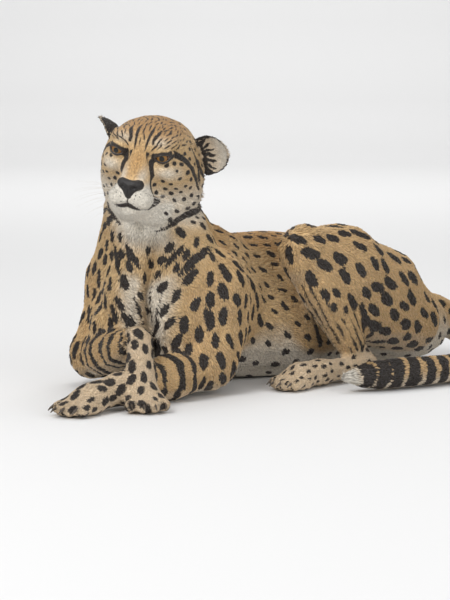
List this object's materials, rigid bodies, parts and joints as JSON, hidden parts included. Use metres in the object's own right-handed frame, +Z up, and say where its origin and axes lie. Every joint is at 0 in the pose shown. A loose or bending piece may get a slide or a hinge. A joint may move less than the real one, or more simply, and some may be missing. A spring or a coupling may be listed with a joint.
{
  "type": "cheetah",
  "caption": "Life-size still model of a cheetah lying on its chest, head up, forelegs crossed, one knee raised and the tail curled beside the haunch.",
  "frame": {"origin": "on the floor plane, on the flat under the trunk, between the elbows and the belly", "axes": "+Z up from the floor, -Y where the chest faces, +X the animal's left"},
  "size_m": [0.5824, 1.1094, 0.4866],
  "materials": {
    "coat": "short dense fur, tawny with dark spots, cream below",
    "eye": "wet amber eye with a round dark pupil",
    "nose": "damp, finely pebbled dark skin",
    "claw": "dark horn, half gloss"
  },
  "bodies": {
    "root": {"head": "coat", "neck": "coat", "trunk": "coat", "upper_arm_left": "coat", "upper_arm_right": "coat", "forearm_left": "coat", "forearm_right": "coat", "forepaw_left": "coat", "forepaw_right": "coat", "thigh_left": "coat", "thigh_right": "coat", "shank_left": "coat", "shank_right": "coat", "hind_foot_left": "coat", "hind_foot_right": "coat", "tail_root": "coat", "tail_middle": "coat", "tail_tip": "coat", "ear_left": "coat", "ear_right": "coat", "eye_left": "eye", "eye_right": "eye", "nose": "nose", "claw_forepaw_left_1": "claw", "claw_forepaw_left_2": "claw", "claw_forepaw_left_3": "claw", "claw_forepaw_left_4": "claw", "claw_forepaw_right_1": "claw", "claw_forepaw_right_2": "claw", "claw_forepaw_right_3": "claw", "claw_forepaw_right_4": "claw", "claw_hind_foot_left_1": "claw", "claw_hind_foot_left_2": "claw", "claw_hind_foot_left_3": "claw", "claw_hind_foot_left_4": "claw", "claw_hind_foot_right_1": "claw", "claw_hind_foot_right_2": "claw", "claw_hind_foot_right_3": "claw", "claw_hind_foot_right_4": "claw"}
  },
  "joints": []
}
